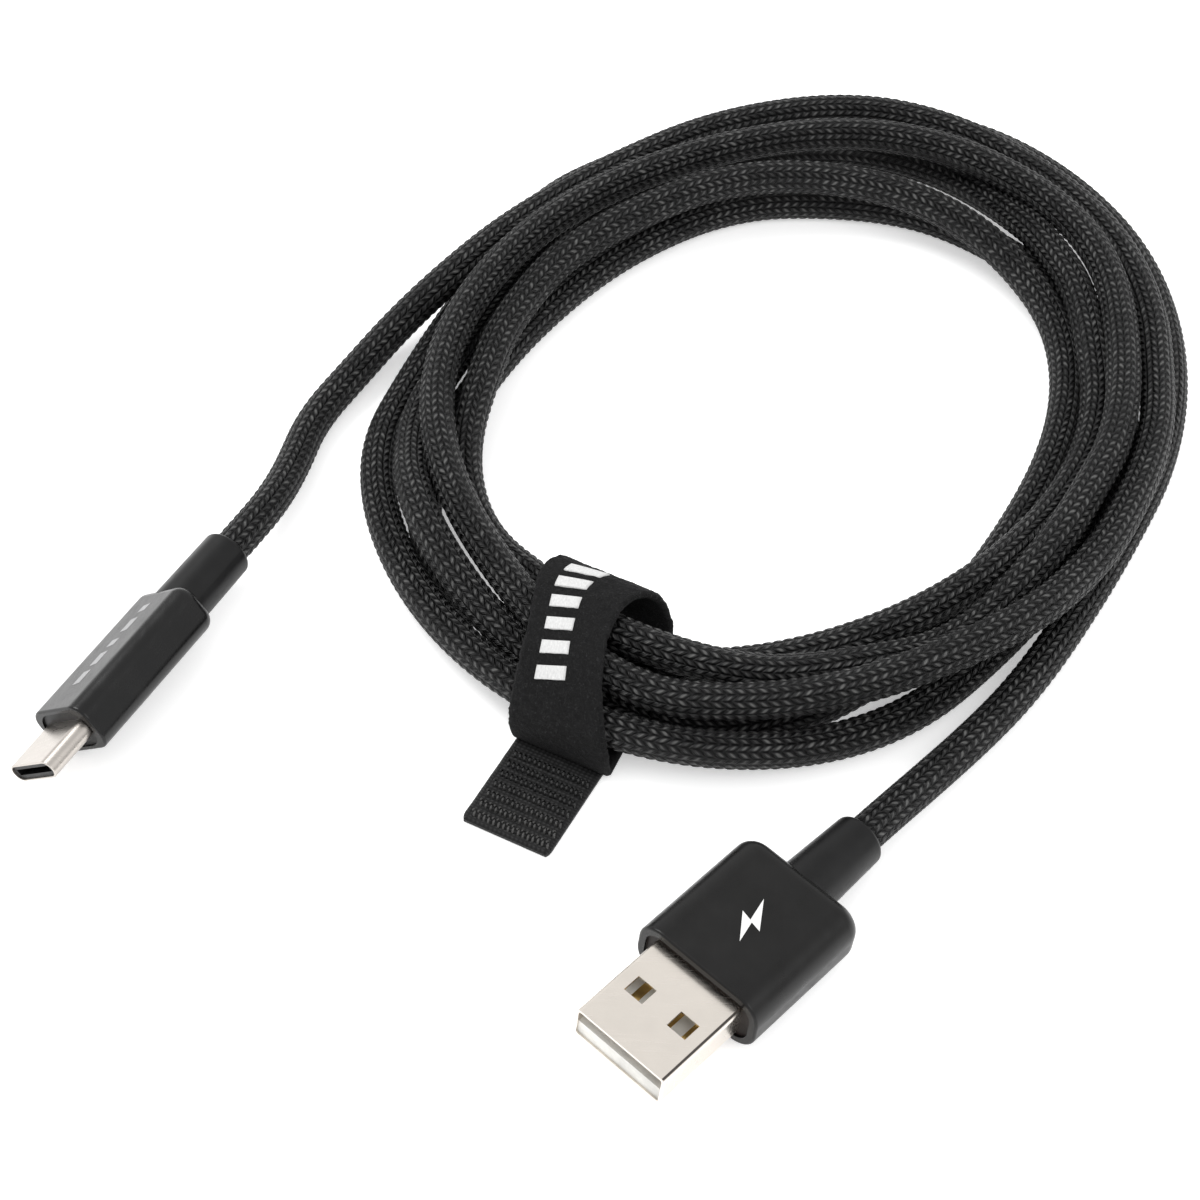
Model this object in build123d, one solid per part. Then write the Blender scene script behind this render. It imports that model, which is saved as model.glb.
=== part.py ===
from build123d import *
import math
import os

# Braided USB-A to USB-C charging cable, coiled and tied with a hook-and-loop
# strap, lying on a flat surface. Millimetres, +Z up, the surface at z = 0.
# Origin: bottom centre of the box round the two plugs and the strap.

# ---------------------------------------------------------------- dimensions
CORD_D = 4.4              # braided cord, outside diameter
CORD_R = CORD_D / 2

# layout datum (centre of the working grid) to the part's origin
ORIGIN_X = -17.664
ORIGIN_Y = -32.876

# USB-A plug
A_FRONT = (9.95, -57.60, 5.34)   # centre of the housing's front face
A_YAW = 227.4             # heading of the plug's nose, degrees from +X
A_PITCH = 3.7             # nose raised
A_ROLL = -3.9             # turned about its own axis
A_SHELL_W = 12.0
A_SHELL_H = 4.5
A_SHELL_T = 0.3
A_SHELL_OUT = 12.0        # shell standing out of the housing
A_SHELL_IN = 8.6          # shell held inside the housing
A_HOUSE_W = 16.4
A_HOUSE_H = 7.8
A_HOUSE_L = 17.5
A_HOUSE_R = 3.0           # corner radius of the housing's section
A_BOOT_L = 10.0
A_BOOT_D = 6.6

# USB-C plug
C_FRONT = (-59.64, -23.57, 4.90)
C_YAW = 240.2
C_PITCH = 0.0
C_ROLL = 39.0
C_SHELL_W = 8.25
C_SHELL_H = 2.4
C_SHELL_T = 0.22
C_SHELL_OUT = 6.65
C_SHELL_IN = 5.2
C_HOUSE_W = 10.2
C_HOUSE_H = 6.3
C_HOUSE_L = 21.3
C_HOUSE_R = 2.0
C_BOOT_L = 9.8
C_BOOT_D = 6.3

# strain reliefs: how far the flexing point lies inside the mouth, and the
# clearance round the cord there
FLEX_IN = 0.8
MOUTH_R0 = CORD_R + 0.30
MOUTH_R1 = CORD_R + 0.62

# strap
STRAP_W = 11.4            # free end
BAND_W = 12.0             # loop
STRAP_T = 1.0
STRAP_POS = (0.6, -15.4)  # centre of the loop on the surface
STRAP_DIR = 62.0          # heading of the loop's long side, degrees from +X
STRAP_SPAN = 20.5         # loop, outside length
STRAP_RISE = 10.5         # loop, outside height
STRAP_SHIFT = -2.8        # loop's middle from the free end's, along the bundle
TAB_L = 12.6              # free end that lies outside the loop
TAB_T = 0.9
HOOK_T = 0.55

# coil: radius of the outermost and innermost strand's axis every 15 degrees
COIL_C = (22.0, 29.0)
COIL_OUT = [49.9, 53.5, 57.1, 59.8, 60.8, 59.6, 57.1, 54.0, 50.7, 47.2, 44.9, 45.7,
            48.4, 50.8, 52.9, 54.5, 56.1, 56.1, 54.0, 50.0, 47.4, 46.2, 45.9, 47.2]
COIL_IN = [37.3, 38.0, 39.1, 40.5, 41.0, 40.4, 38.6, 36.6, 35.1, 34.3, 34.6, 35.7,
            37.1, 39.3, 41.3, 42.6, 43.4, 43.2, 40.7, 38.0, 36.1, 35.3, 35.4, 36.4]
COIL_H = 9.8

# leads: the points each one runs between, from the plug to the coil
A_ROUTE = [(27.99, -37.99, 3.58), (30.96, -34.76, 3.30), (36.70, -28.65, 2.50),
           (42.65, -22.42, 2.23), (47.89, -16.43, 2.23), (53.49, -8.45, 2.20)]
C_ROUTE = [(-44.58, 2.72, 4.90), (-42.10, 7.06, 4.84), (-39.72, 12.37, 4.09),
           (-38.03, 18.98, 2.67), (-36.16, 27.91, 2.12), (-31.09, 36.49, 2.34),
           (-25.75, 43.72, 4.04)]


def shift(p):
    return (p[0] - ORIGIN_X, p[1] - ORIGIN_Y, p[2])


# ------------------------------------------------------------------- helpers
def rr_bar(w, h, r, x0, x1, y=0.0, z=0.0):
    """Rounded-rectangle bar along X from x0 to x1 (w along Y, h along Z)."""
    face = Plane(origin=(x0, y, z), x_dir=(0, 1, 0), z_dir=(1, 0, 0)) * RectangleRounded(w, h, r)
    return extrude(face, amount=x1 - x0)


def block(x0, x1, y0, y1, z0, z1):
    return Pos((x0 + x1) / 2, (y0 + y1) / 2, (z0 + z1) / 2) * Box(x1 - x0, y1 - y0, z1 - z0)


def rod(p, q, r):
    """Round rod of radius r from p to q."""
    d = Vector(*q) - Vector(*p)
    return extrude(Plane(origin=p, z_dir=d.normalized()) * Circle(r), amount=d.length)


def cyl_x(r, x0, x1, y=0.0, z=0.0):
    return extrude(Plane(origin=(x0, y, z), x_dir=(0, 1, 0), z_dir=(1, 0, 0)) * Circle(r), amount=x1 - x0)


def cone_x(r0, r1, x0, x1):
    a = Plane(origin=(x0, 0, 0), x_dir=(0, 1, 0), z_dir=(1, 0, 0)) * Circle(r0)
    b = Plane(origin=(x1, 0, 0), x_dir=(0, 1, 0), z_dir=(1, 0, 0)) * Circle(r1)
    return loft([a, b])


def place(front, yaw, pitch, roll):
    """Location of a plug: local +X is its nose, +Z its upper face."""
    ya, pi, ro = (math.radians(v) for v in (yaw, pitch, roll))
    t = Vector(math.cos(ya) * math.cos(pi), math.sin(ya) * math.cos(pi), math.sin(pi))
    s0 = Vector(-math.sin(ya), math.cos(ya), 0)
    u0 = t.cross(s0)
    u = s0 * (-math.sin(ro)) + u0 * math.cos(ro)
    return Plane(origin=shift(front), x_dir=t, z_dir=u).location


def tube(points, r):
    """Straight runs joined by the largest tangent arcs that they allow."""
    pts = [Vector(*shift(p)) for p in points]
    radii = []
    for i in range(1, len(pts) - 1):
        a, b = pts[i] - pts[i - 1], pts[i + 1] - pts[i]
        half = math.radians(a.get_angle(b)) / 2
        radii.append(0.45 * min(a.length, b.length) / math.tan(half))
    path = FilletPolyline(*pts, radius=radii)
    start = Plane(origin=path @ 0, z_dir=path % 0)
    solid = sweep(start * Circle(r), path=path)
    print("radii", [round(v, 1) for v in radii], "length", round(path.length, 2),
          "volume / section x length", round(solid.volume / (math.pi * r * r * path.length), 4))
    return solid, path


NODES = {}


def keep(name, shapes, loc=None):
    shapes = shapes if isinstance(shapes, list) else [shapes]
    solids = []
    for s in shapes:
        if loc is not None:
            s = loc * s
        solids.extend(s.solids())
    NODES[name] = solids[0] if len(solids) == 1 else Compound(children=solids)


# --------------------------------------------------------------- USB-A plug
A_LOC = place(A_FRONT, A_YAW, A_PITCH, A_ROLL)
a_end = -(A_HOUSE_L + A_BOOT_L)          # mouth of the strain relief
a_flex = a_end + FLEX_IN
a_gap = 0.3                              # clear of the cord's end

shell_outer = rr_bar(A_SHELL_W, A_SHELL_H, 0.55, -A_SHELL_IN, A_SHELL_OUT)
shell_inner = rr_bar(A_SHELL_W - 2 * A_SHELL_T, A_SHELL_H - 2 * A_SHELL_T, 0.3,
                     -A_SHELL_IN - 1, A_SHELL_OUT + 1)
a_shell = shell_outer - shell_inner
for sy in (-1, 1):                        # two latch windows in each wide face
    a_shell -= block(4.55, 6.85, sy * 2.95 - 1.25, sy * 2.95 + 1.25, -4, 4)

a_in_w = A_SHELL_W - 2 * A_SHELL_T
a_in_h = A_SHELL_H - 2 * A_SHELL_T
# contacts: outer pair longer, each with a solder tail behind
contacts = []
for y, nose in ((-3.5, 10.6), (-1.0, 9.6), (1.0, 9.6), (3.5, 10.6)):
    strip = block(-8.2, nose, y - 0.5, y + 0.5, -0.22, 0.02)
    tail = block(-11.4, -8.2, y - 0.4, y + 0.4, -0.22, 0.02)
    contacts.append(strip + tail)
tongue = rr_bar(a_in_w, a_in_h, 0.3, -8.2, 11.75) - block(2.4, 13, -7, 7, -0.02, 3)
a_insulator = tongue
for c in contacts:
    a_insulator -= c
# relief for the detent springs under the upper windows
keep("usb_a_insulator", a_insulator, A_LOC)
keep("usb_a_contacts", contacts, A_LOC)
keep("usb_a_shell", a_shell, A_LOC)

# housing: a sleeve with a closed back
a_house = rr_bar(A_HOUSE_W, A_HOUSE_H, A_HOUSE_R, -A_HOUSE_L, 0)
back_edges = a_house.faces().sort_by(Axis.X)[0].edges()
a_house = fillet(back_edges, 1.9)
a_house = fillet(a_house.faces().sort_by(Axis.X)[-1].edges(), 0.3)
a_house_block = a_house
a_cav_w, a_cav_h = A_HOUSE_W - 2.0, A_HOUSE_H - 2.0
a_cav = rr_bar(a_cav_w, a_cav_h, 2.0, -A_HOUSE_L + 1.6, 1)
a_house -= a_cav
a_house -= cyl_x(2.75, -A_HOUSE_L - 1, -A_HOUSE_L + 2)
keep("usb_a_housing", a_house, A_LOC)

# front insert: closes the sleeve round the shell, set back a little
a_insert = rr_bar(a_cav_w, a_cav_h, 2.0, -1.5, -0.35) - rr_bar(A_SHELL_W, A_SHELL_H, 0.55, -3, 1)
keep("usb_a_front_insert", a_insert, A_LOC)

# cord end inside the plug, ferrule, wires
a_jacket = cyl_x(CORD_R, a_flex + CORD_R + a_gap, -13.2)
a_ferrule = cyl_x(CORD_R + 0.35, -15.4, -13.4) - cyl_x(CORD_R, -16, -13)
keep("usb_a_cable_end", a_jacket, A_LOC)
keep("usb_a_crimp_ferrule", a_ferrule, A_LOC)
wires_a = {}
for name, y0, z0, y1 in (("usb_a_wire_power", 1.0, 0.75, 3.5), ("usb_a_wire_data_minus", 0.85, -0.8, 1.0),
                         ("usb_a_wire_data_plus", -0.85, -0.8, -1.0), ("usb_a_wire_ground", -1.0, 0.75, -3.5)):
    z1 = 0.44 if z0 > 0 else -0.64
    wires_a[name] = rod((-13.3, y0, z0), (-10.0, y1, z1), 0.42) - a_jacket - block(-15, -13.2, -3, 3, -3, 3)
    keep(name, wires_a[name], A_LOC)

# inner mould: holds shell, contacts' tails, wires and ferrule
a_mould = rr_bar(a_cav_w - 0.02, a_cav_h - 0.02, 2.0, -A_HOUSE_L + 1.62, -1.52)
a_mould -= rr_bar(A_SHELL_W, A_SHELL_H, 0.55, -A_SHELL_IN, 0)
a_mould -= cyl_x(CORD_R + 0.35, -A_HOUSE_L, -13.4) + cyl_x(CORD_R, -14, -13.2)
for w in wires_a.values():
    a_mould -= w
for c in contacts:
    a_mould -= c
keep("usb_a_inner_mould", a_mould.solids().sort_by(SortBy.VOLUME)[-1], A_LOC)


def strain_relief(length, dia, root_d, house_l, neck_r, block, into):
    """Round rubber sleeve with a rounded mouth, shaped to the housing's rounded back."""
    x1 = -house_l + 1.6
    x0 = -(house_l + length)
    outer = cone_x(dia / 2, root_d / 2, x0, -house_l)
    mouth = outer.faces().sort_by(Axis.X)[0].edges()
    outer = fillet(mouth, 0.55)
    outer += cyl_x(root_d / 2, -house_l, -house_l + into) - block
    outer += cyl_x(neck_r, -house_l, x1)
    outer -= cyl_x(CORD_R, x0 - 1, x1 + 1)
    outer -= cyl_x(MOUTH_R0, x0 + FLEX_IN - 0.01, x0 + FLEX_IN + CORD_R + 0.30)
    outer -= cone_x(MOUTH_R1, MOUTH_R0, x0 - 0.02, x0 + FLEX_IN)
    return outer


a_boot = strain_relief(A_BOOT_L, A_BOOT_D - 0.4, A_BOOT_D + 0.3, A_HOUSE_L, 2.75, a_house_block, 1.5)
keep("usb_a_strain_relief", a_boot, A_LOC)

# --------------------------------------------------------------- USB-C plug
C_LOC = place(C_FRONT, C_YAW, C_PITCH, C_ROLL)
c_end = -(C_HOUSE_L + C_BOOT_L)
c_flex = c_end + FLEX_IN
c_in_w = C_SHELL_W - 2 * C_SHELL_T
c_in_h = C_SHELL_H - 2 * C_SHELL_T

c_shell = rr_bar(C_SHELL_W, C_SHELL_H, C_SHELL_H / 2 - 0.01, -C_SHELL_IN, C_SHELL_OUT)
nose = c_shell.faces().sort_by(Axis.X)[-1].edges()
c_shell = fillet(nose, 0.1)
c_shell -= rr_bar(c_in_w, c_in_h, c_in_h / 2 - 0.01, -C_SHELL_IN - 1, C_SHELL_OUT + 1)
keep("usb_c_shell", c_shell, C_LOC)

c_upper, c_lower = [], []
for k in (-5.5, -2.5, -1.5, -0.5, 0.5, 1.5, 2.5, 5.5):
    c_upper.append(block(-6.6, 5.6, k * 0.5 - 0.12, k * 0.5 + 0.12, 0.42, 0.60))
for k in (-5.5, -2.5, -1.5, 1.5, 2.5, 5.5):
    c_lower.append(block(-6.6, 5.6, k * 0.5 - 0.12, k * 0.5 + 0.12, -0.60, -0.42))
keep("usb_c_contacts_upper", c_upper, C_LOC)
keep("usb_c_contacts_lower", c_lower, C_LOC)

# latch spring: a flat U in the middle of the insulator, one arm each side
c_latch = block(-6.2, -4.2, -3.55, 3.55, -0.09, 0.09)
for sy in (-1, 1):
    c_latch += block(-4.2, 4.9, sy * 3.45 - 0.14, sy * 3.45 + 0.14, -0.30, 0.30)
keep("usb_c_latch_spring", c_latch, C_LOC)

c_insulator = rr_bar(c_in_w, c_in_h, c_in_h / 2 - 0.01, -5.0, 6.45)
c_insulator -= block(0.4, 7.0, -3.31, 3.31, -0.42, 0.42)
for s in c_upper + c_lower + [c_latch]:
    c_insulator -= s
keep("usb_c_insulator", c_insulator.solids().sort_by(SortBy.VOLUME)[-1], C_LOC)

# paddle card between the contact tails, with one pull-up resistor
c_card = block(-13.0, -6.25, -3.6, 3.6, -0.38, 0.38)
c_resistor = block(-9.4, -8.4, 1.6, 2.1, 0.38, 0.73)
keep("usb_c_paddle_card", c_card, C_LOC)
keep("usb_c_resistor", c_resistor, C_LOC)

c_house = rr_bar(C_HOUSE_W, C_HOUSE_H, C_HOUSE_R, -C_HOUSE_L, 0)
c_house = fillet(c_house.faces().sort_by(Axis.X)[0].edges(), 1.5)
c_house = fillet(c_house.faces().sort_by(Axis.X)[-1].edges(), 0.3)
c_house_block = c_house
c_cav_w, c_cav_h = C_HOUSE_W - 1.5, C_HOUSE_H - 1.2
c_house -= rr_bar(c_cav_w, c_cav_h, c_cav_h / 2 - 0.1, -C_HOUSE_L + 1.6, 1)
c_house -= cyl_x(2.5, -C_HOUSE_L - 1, -C_HOUSE_L + 2)
keep("usb_c_housing", c_house, C_LOC)

c_insert = rr_bar(c_cav_w, c_cav_h, c_cav_h / 2 - 0.1, -1.3, -0.25) \
    - rr_bar(C_SHELL_W, C_SHELL_H, C_SHELL_H / 2 - 0.01, -3, 1)
keep("usb_c_front_insert", c_insert, C_LOC)

c_jacket = cyl_x(CORD_R, c_flex + CORD_R + a_gap, -17.4)
c_ferrule = cyl_x(CORD_R + 0.28, -19.4, -17.6) - cyl_x(CORD_R, -20, -17)
keep("usb_c_cable_end", c_jacket, C_LOC)
keep("usb_c_crimp_ferrule", c_ferrule, C_LOC)
wires_c = {}
for name, y0, z0, y1, z1 in (("usb_c_wire_power", 1.0, 0.85, 2.6, 0.81), ("usb_c_wire_data_minus", 0.9, -0.8, 1.0, -0.81),
                             ("usb_c_wire_data_plus", -0.9, -0.8, -1.0, -0.81), ("usb_c_wire_ground", -1.0, 0.85, -2.6, 0.81)):
    wires_c[name] = rod((-17.5, y0, z0), (-10.6, y1, z1), 0.40) - block(-19, -17.4, -3, 3, -3, 3)
    keep(name, wires_c[name], C_LOC)

c_mould = rr_bar(c_cav_w - 0.02, c_cav_h - 0.02, c_cav_h / 2 - 0.12, -C_HOUSE_L + 1.62, -1.32)
c_mould -= rr_bar(C_SHELL_W, C_SHELL_H, C_SHELL_H / 2 - 0.01, -C_SHELL_IN, 0)
c_mould -= cyl_x(CORD_R + 0.28, -C_HOUSE_L, -17.6) + cyl_x(CORD_R, -18, -17.4)
for s in list(wires_c.values()) + c_upper + c_lower + [c_latch, c_card, c_resistor]:
    c_mould -= s
keep("usb_c_inner_mould", c_mould.solids().sort_by(SortBy.VOLUME)[-1], C_LOC)

c_boot = strain_relief(C_BOOT_L, C_BOOT_D - 0.2, C_BOOT_D, C_HOUSE_L, 2.5, c_house_block, 1.2)
# the sleeve's neck in the housing is 5 mm
keep("usb_c_strain_relief", c_boot, C_LOC)

# -------------------------------------------------------------------- strap
# loop profile in the (r, z) plane: r along STRAP_DIR, towards the coil's centre
sd = math.radians(STRAP_DIR)
r_dir = Vector(math.cos(sd), math.sin(sd), 0)
n_dir = Vector(math.sin(sd), -math.cos(sd), 0)
strap_o = Vector(*shift((STRAP_POS[0], STRAP_POS[1], 0)))
# plane with x along r, y along z-up; its normal is +n
strap_plane = Plane(origin=strap_o + n_dir * (STRAP_SHIFT - BAND_W / 2), x_dir=r_dir, z_dir=n_dir)
h = STRAP_SPAN / 2
outer_pts = [(-h + 1.2, 0), (h - 3.2, 0), (h + 0.15, 1.6), (h + 1.15, 4.6), (h + 0.15, 8.2), (h - 4.05, 9.9),
             (0, STRAP_RISE), (-h + 5.0, 10.1), (-h + 1.6, 7.8), (-h, 4.4), (-h, 1.4)]


def offset_loop(pts, d):
    out = []
    n = len(pts)
    for i in range(n):
        a, b, c = Vector(*pts[i - 1]), Vector(*pts[i]), Vector(*pts[(i + 1) % n])
        e1, e2 = (b - a).normalized(), (c - b).normalized()
        n1, n2 = Vector(-e1.Y, e1.X), Vector(-e2.Y, e2.X)
        m = (n1 + n2).normalized()
        k = d / max(m.dot(n1), 0.5)
        out.append((b.X + m.X * k, b.Y + m.Y * k))
    return out


def loop_face(pts):
    ls = [Vector(*p) for p in pts]
    radii = []
    n = len(ls)
    for i in range(n):
        a, b, c = ls[i - 1], ls[i], ls[(i + 1) % n]
        half = math.radians((b - a).get_angle(c - b)) / 2
        radii.append(0.42 * min((b - a).length, (c - b).length) / math.tan(half))
    path = FilletPolyline(*ls, radius=radii, close=True)
    return make_face(path.edges())


outer_face = strap_plane * loop_face(outer_pts)
inner_face = strap_plane * loop_face(offset_loop(outer_pts, STRAP_T))
band_full = extrude(outer_face, amount=BAND_W)
band = band_full - extrude(inner_face, amount=BAND_W)
keep("strap_band", band)

# free end: lies on the surface outside the loop, hinged where it leaves it
tab_x0 = -h - 0.25
tab_plane = Plane(origin=strap_o - n_dir * (STRAP_W / 2 - 0.2), x_dir=r_dir, z_dir=n_dir)
TAB_Z = TAB_T / 2
tab_prof = make_face(Polyline((tab_x0, 0), (tab_x0, TAB_T), (tab_x0 - TAB_L, TAB_T), (tab_x0 - TAB_L, 0), close=True).edges())
tab = extrude(tab_plane * tab_prof, amount=STRAP_W - 0.4)
keep("strap_tab", tab)
hook_prof = make_face(Polyline((tab_x0 - 1.6, TAB_T), (tab_x0 - 1.6, TAB_T + HOOK_T), (tab_x0 - TAB_L + 0.5, TAB_T + HOOK_T),
                               (tab_x0 - TAB_L + 0.5, TAB_T), close=True).edges())
hook_plane = Plane(origin=strap_o - n_dir * (STRAP_W / 2 - 0.7), x_dir=r_dir, z_dir=n_dir)
keep("strap_hook_field", extrude(hook_plane * hook_prof, amount=STRAP_W - 1.4))

# --------------------------------------------------------------------- coil
def ring_pts(radii, grow):
    out = []
    for i, r in enumerate(radii):
        a = math.radians(15 * i)
        x, y, _ = shift((COIL_C[0] + (r + grow) * math.cos(a), COIL_C[1] + (r + grow) * math.sin(a), 0))
        out.append((x, y))
    return out


ring_out = loop_face(ring_pts(COIL_OUT, CORD_R))
ring_in = loop_face(ring_pts(COIL_IN, -CORD_R))
ring = extrude(ring_out, amount=COIL_H) - extrude(ring_in, amount=COIL_H)
edges = ring.edges().group_by(Axis.Z)
ring = fillet(edges[-1], 2.6)
ring = fillet(ring.edges().group_by(Axis.Z)[0], 1.2)
ring -= band
keep("cable_coil", ring.solids().sort_by(SortBy.VOLUME)[-1])

# -------------------------------------------------------------------- leads
for name, route, loc, flex in (("usb_a_lead", A_ROUTE, A_LOC, a_flex), ("usb_c_lead", C_ROUTE, C_LOC, c_flex)):
    solid, path = tube(route, CORD_R)
    # domed end, so that the cord turns in the strain relief's mouth
    p0 = Vector(*shift(route[0]))
    dome = Pos(p0) * Sphere(CORD_R)
    solid = solid + dome
    keep(name, solid.solids().sort_by(SortBy.VOLUME)[-1])
    pivot = loc * Location((flex, 0, 0))
    print(name, "flex point", [round(v, 3) for v in pivot.position], "route start", [round(v, 3) for v in p0])

# ------------------------------------------------------------------- output
os.makedirs("parts", exist_ok=True)
for f in os.listdir("parts"):
    if f.endswith(".step"):
        os.remove(os.path.join("parts", f))
lo = [1e9] * 3
hi = [-1e9] * 3
for name, shape in NODES.items():
    shape.label = name
    export_step(shape, "parts/" + name + ".step")
    if name not in ("cable_coil", "usb_a_lead", "usb_c_lead"):
        bb = shape.bounding_box()
        for i, (a, b) in enumerate(zip(bb.min, bb.max)):
            lo[i] = min(lo[i], a)
            hi[i] = max(hi[i], b)
print("box without the cord", [round(v, 3) for v in lo], [round(v, 3) for v in hi],
      "centre", round((lo[0] + hi[0]) / 2, 3), round((lo[1] + hi[1]) / 2, 3))
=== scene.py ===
import bpy
import math
import numpy as np
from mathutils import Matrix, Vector


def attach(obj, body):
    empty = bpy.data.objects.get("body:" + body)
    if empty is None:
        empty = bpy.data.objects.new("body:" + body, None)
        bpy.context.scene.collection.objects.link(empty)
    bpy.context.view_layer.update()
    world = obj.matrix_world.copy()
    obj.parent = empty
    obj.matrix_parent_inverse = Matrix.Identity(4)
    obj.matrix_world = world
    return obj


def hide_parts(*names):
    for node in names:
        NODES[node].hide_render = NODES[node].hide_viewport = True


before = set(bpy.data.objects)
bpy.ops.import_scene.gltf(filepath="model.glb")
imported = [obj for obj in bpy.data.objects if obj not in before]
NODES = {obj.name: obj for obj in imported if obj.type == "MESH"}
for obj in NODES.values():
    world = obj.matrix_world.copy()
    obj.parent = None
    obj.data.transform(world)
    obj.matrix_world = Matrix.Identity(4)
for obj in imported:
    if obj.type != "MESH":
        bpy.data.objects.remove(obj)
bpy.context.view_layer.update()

scene = bpy.context.scene

# ------------------------------------------------------------------ camera
cam_data = bpy.data.cameras.new("camera")
cam_data.lens = 81.0
cam_data.sensor_width = 36.0
cam_data.clip_start = 0.01
cam_data.clip_end = 5.0
cam = bpy.data.objects.new("camera", cam_data)
scene.collection.objects.link(cam)
cam.location = (0.017664, -0.17703, 0.24497)
cam.rotation_euler = (math.radians(40.59), 0.0, 0.0)
scene.camera = cam

# ----------------------------------------------------------------- helpers
def obj_from(name, verts, faces, mat=None, smooth=True, uvs=None):
    me = bpy.data.meshes.new(name)
    v = np.asarray(verts, np.float32)
    me.from_pydata([tuple(p) for p in v.tolist()], [], faces)
    if smooth:
        me.polygons.foreach_set("use_smooth", [True] * len(me.polygons))
    if uvs is not None:
        layer = me.uv_layers.new(name="strand")
        loops = np.empty(len(me.loops), np.int32)
        me.loops.foreach_get("vertex_index", loops)
        layer.data.foreach_set("uv", np.asarray(uvs, np.float32).ravel())
    me.update()
    o = bpy.data.objects.new(name, me)
    scene.collection.objects.link(o)
    if mat is not None:
        me.materials.append(mat)
    return o


class Tree:
    """A few shorthands for building a node material."""

    def __init__(self, name):
        self.mat = bpy.data.materials.new(name)
        self.mat.use_nodes = True
        self.t = self.mat.node_tree
        self.bsdf = next(n for n in self.t.nodes if n.type == "BSDF_PRINCIPLED")
        self.coord = self.t.nodes.new("ShaderNodeTexCoord")

    def link(self, a, b):
        self.t.links.new(a, b)
        return self

    def math(self, op, a, b=None, c=None, clamp=False):
        n = self.t.nodes.new("ShaderNodeMath")
        n.operation = op
        n.use_clamp = clamp
        for i, v in enumerate((a, b, c)):
            if v is None:
                continue
            if isinstance(v, (int, float)):
                n.inputs[i].default_value = v
            else:
                self.link(v, n.inputs[i])
        return n.outputs[0]

    def mapping(self, src, scale=(1, 1, 1), rot=(0, 0, 0), loc=(0, 0, 0)):
        n = self.t.nodes.new("ShaderNodeMapping")
        n.inputs["Scale"].default_value = scale
        n.inputs["Rotation"].default_value = rot
        n.inputs["Location"].default_value = loc
        self.link(src, n.inputs["Vector"])
        return n.outputs[0]

    def noise(self, src, scale, detail=3.0, rough=0.55, distort=0.0):
        n = self.t.nodes.new("ShaderNodeTexNoise")
        n.inputs["Scale"].default_value = scale
        n.inputs["Detail"].default_value = detail
        n.inputs["Roughness"].default_value = rough
        n.inputs["Distortion"].default_value = distort
        self.link(src, n.inputs["Vector"])
        return n.outputs["Fac"]

    def white(self, src):
        n = self.t.nodes.new("ShaderNodeTexWhiteNoise")
        n.noise_dimensions = "3D"
        self.link(src, n.inputs["Vector"])
        return n.outputs["Value"]

    def combine(self, x, y, z):
        n = self.t.nodes.new("ShaderNodeCombineXYZ")
        for i, v in enumerate((x, y, z)):
            if isinstance(v, (int, float)):
                n.inputs[i].default_value = v
            else:
                self.link(v, n.inputs[i])
        return n.outputs[0]

    def separate(self, src):
        n = self.t.nodes.new("ShaderNodeSeparateXYZ")
        self.link(src, n.inputs[0])
        return n.outputs[0], n.outputs[1], n.outputs[2]

    def ramp(self, fac, stops, interpolation="LINEAR"):
        n = self.t.nodes.new("ShaderNodeValToRGB")
        n.color_ramp.interpolation = interpolation
        el = n.color_ramp.elements
        while len(el) < len(stops):
            el.new(0.5)
        for e, (p, c) in zip(el, stops):
            e.position = p
            e.color = (c, c, c, 1) if isinstance(c, (int, float)) else (*c, 1)
        self.link(fac, n.inputs["Fac"])
        return n.outputs["Color"]

    def range(self, v, a, b, c, d, smooth=False):
        n = self.t.nodes.new("ShaderNodeMapRange")
        if smooth:
            n.interpolation_type = "SMOOTHSTEP"
        for k, x in (("From Min", a), ("From Max", b), ("To Min", c), ("To Max", d)):
            n.inputs[k].default_value = x
        self.link(v, n.inputs["Value"])
        return n.outputs["Result"]

    def mix(self, fac, a, b):
        n = self.t.nodes.new("ShaderNodeMix")
        n.data_type = "RGBA"
        if isinstance(fac, (int, float)):
            n.inputs["Factor"].default_value = fac
        else:
            self.link(fac, n.inputs["Factor"])
        for k, v in ((6, a), (7, b)):
            if isinstance(v, tuple):
                n.inputs[k].default_value = (*v, 1)
            else:
                self.link(v, n.inputs[k])
        return n.outputs[2]

    def bump(self, height, strength=0.3, distance=0.0001, normal=None):
        n = self.t.nodes.new("ShaderNodeBump")
        n.inputs["Strength"].default_value = strength
        n.inputs["Distance"].default_value = distance
        self.link(height, n.inputs["Height"])
        if normal is not None:
            self.link(normal, n.inputs["Normal"])
        return n.outputs["Normal"]

    def set(self, **kw):
        names = dict(base="Base Color", rough="Roughness", metallic="Metallic", spec="Specular IOR Level",
                     coat="Coat Weight", coat_rough="Coat Roughness", sheen="Sheen Weight",
                     sheen_rough="Sheen Roughness", sheen_tint="Sheen Tint", normal="Normal",
                     ior="IOR", aniso="Anisotropic", sss="Subsurface Weight", emission="Emission Color",
                     emission_strength="Emission Strength")
        for k, v in kw.items():
            s = self.bsdf.inputs[names[k]]
            if isinstance(v, tuple) and len(v) == 3:
                s.default_value = (*v, 1)
            elif isinstance(v, (int, float)):
                s.default_value = v
            else:
                self.link(v, s)
        return self.mat


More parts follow.
